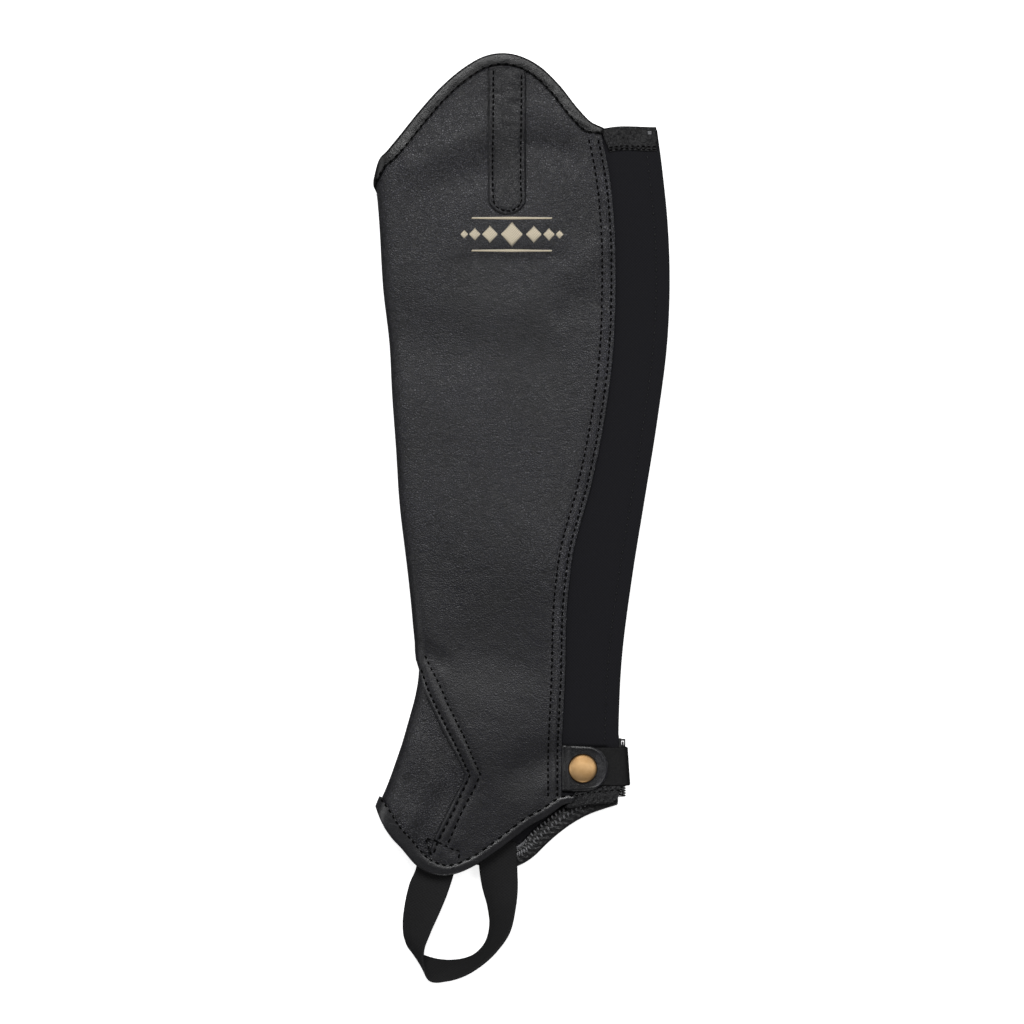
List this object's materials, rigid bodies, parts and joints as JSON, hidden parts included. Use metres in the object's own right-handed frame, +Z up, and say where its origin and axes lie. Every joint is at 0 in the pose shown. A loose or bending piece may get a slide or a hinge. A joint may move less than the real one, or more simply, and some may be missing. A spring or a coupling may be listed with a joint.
{
  "type": "half chap",
  "caption": "Leather half chap for riding, zipped and laid flat, with a stretch back panel, a high rounded top, a snapped ankle tab and a stirrup strap under the foot.",
  "frame": {"origin": "centre of the bounding box in plan, on the floor that the half chap lies on", "axes": "+X from the shin fold to the zip, +Y up the leg, +Z up from the floor through the flattened leg"},
  "size_m": [0.1572, 0.4918, 0.0192],
  "materials": {
    "leather": "smooth grain, semi-matte black",
    "binding_leather": "thin smooth leather, slightly glossy black",
    "stretch_fabric": "matte knitted stretch fabric, black",
    "webbing": "woven elastic webbing, black",
    "woven_tape": "woven nylon tape, black",
    "zip_coil": "moulded nylon coil, black",
    "zip_metal": "black enamel",
    "brass_cap": "satin antique brass"
  },
  "bodies": {
    "half_chap": {"bottom_binding": "binding_leather", "calf_strip": "leather", "elastic_bottom_hem": "stretch_fabric", "elastic_panel": "stretch_fabric", "elastic_top_hem": "stretch_fabric", "inner_hem_tape": "woven_tape", "instep_piece": "leather", "main_panel": "leather", "snap_cap": "brass_cap", "snap_strap": "leather", "snap_tab": "leather", "stirrup_strap": "webbing", "top_binding": "binding_leather", "zip_chain": "zip_coil", "zip_slider": "zip_metal", "zip_tape_far": "woven_tape", "zip_tape_near": "woven_tape"},
    "pull_tab": {"zip_pull": "zip_metal"}
  },
  "joints": [
    {"name": "pull_tab_swing", "type": "hinge", "parent": "half_chap", "child": "pull_tab", "pos_m": [0.05395, -0.12106, 0.0047], "axis": [0, 0, 1], "range_deg": [-0.5, 5]}
  ]
}
